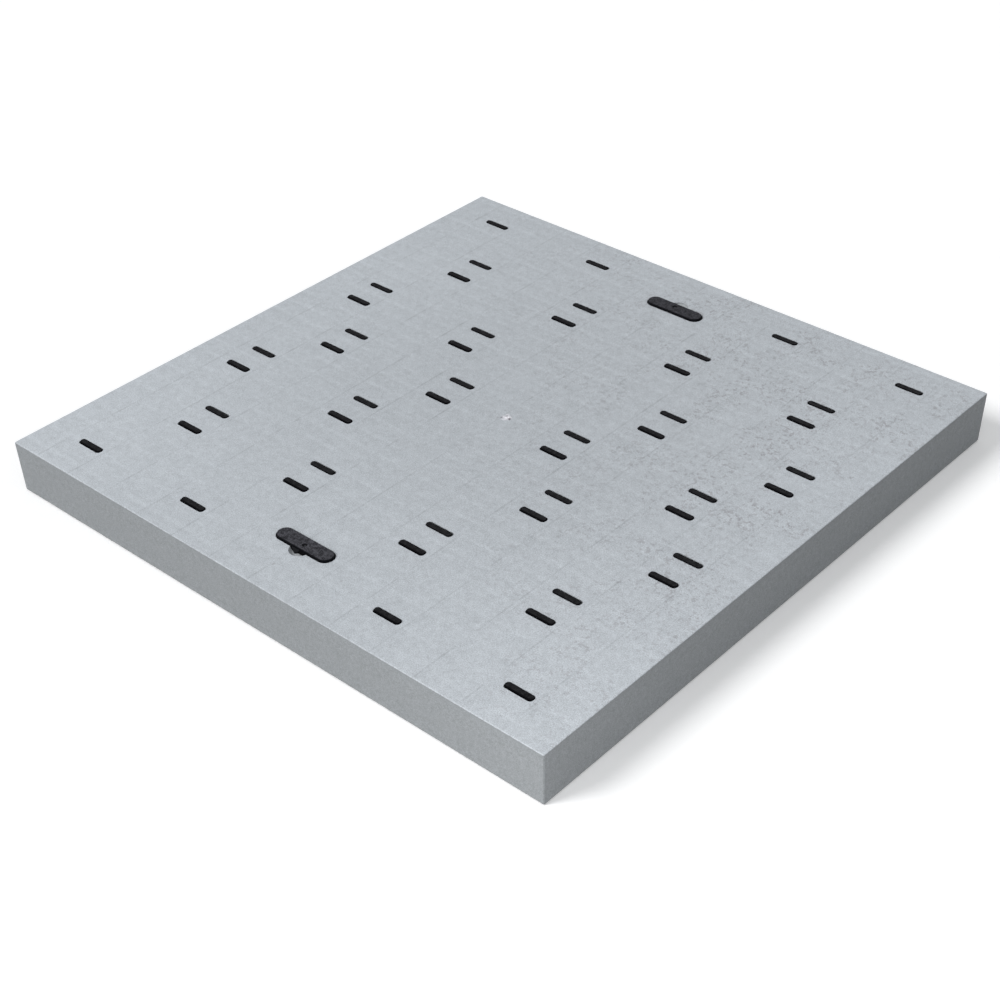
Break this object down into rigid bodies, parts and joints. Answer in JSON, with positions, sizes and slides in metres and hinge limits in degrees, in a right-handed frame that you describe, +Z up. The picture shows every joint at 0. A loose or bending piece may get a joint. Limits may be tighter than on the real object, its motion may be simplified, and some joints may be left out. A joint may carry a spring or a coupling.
{
  "type": "access cover",
  "caption": "Square ribbed plastic access cover with a plain grey deck, black grip pads and two black pull-up lifting handles.",
  "frame": {"origin": "middle of the underside, on the plane that the cover's lower rim stands on", "axes": "+Z up through the deck, +X along the length of the grip pads and handle bars, +Y from the front handle to the back one"},
  "size_m": [0.9998, 0.9998, 0.0876],
  "materials": {
    "cover_grey": "fine matt moulded grey, lightly soiled",
    "handle_black": "satin black moulding, dusty",
    "pad_black": "matt black, dusty"
  },
  "bodies": {
    "cover": {"cover_shell": "cover_grey", "handle_cup_front": "handle_black", "handle_cup_back": "handle_black", "grip_pad_01": "pad_black", "grip_pad_02": "pad_black", "grip_pad_03": "pad_black", "grip_pad_04": "pad_black", "grip_pad_05": "pad_black", "grip_pad_06": "pad_black", "grip_pad_07": "pad_black", "grip_pad_08": "pad_black", "grip_pad_09": "pad_black", "grip_pad_10": "pad_black", "grip_pad_11": "pad_black", "grip_pad_12": "pad_black", "grip_pad_13": "pad_black", "grip_pad_14": "pad_black", "grip_pad_15": "pad_black", "grip_pad_16": "pad_black", "grip_pad_17": "pad_black", "grip_pad_18": "pad_black", "grip_pad_19": "pad_black", "grip_pad_20": "pad_black", "grip_pad_21": "pad_black", "grip_pad_22": "pad_black", "grip_pad_23": "pad_black", "grip_pad_24": "pad_black", "grip_pad_25": "pad_black", "grip_pad_26": "pad_black", "grip_pad_27": "pad_black", "grip_pad_28": "pad_black", "grip_pad_29": "pad_black", "grip_pad_30": "pad_black", "grip_pad_31": "pad_black", "grip_pad_32": "pad_black", "grip_pad_33": "pad_black", "grip_pad_34": "pad_black", "grip_pad_35": "pad_black", "grip_pad_36": "pad_black", "grip_pad_37": "pad_black", "grip_pad_38": "pad_black", "grip_pad_39": "pad_black", "grip_pad_40": "pad_black", "grip_pad_41": "pad_black", "grip_pad_42": "pad_black", "grip_pad_43": "pad_black", "grip_pad_44": "pad_black", "grip_pad_45": "pad_black", "grip_pad_46": "pad_black", "grip_pad_47": "pad_black", "grip_pad_48": "pad_black"},
    "front_handle": {"handle_bar_front": "handle_black"},
    "back_handle": {"handle_bar_back": "handle_black"}
  },
  "joints": [
    {"name": "front_handle_lift", "type": "slide", "parent": "cover", "child": "front_handle", "axis": [0, 0, 1], "range_m": [0, 0.038]},
    {"name": "back_handle_lift", "type": "slide", "parent": "cover", "child": "back_handle", "axis": [0, 0, 1], "range_m": [0, 0.038]}
  ]
}
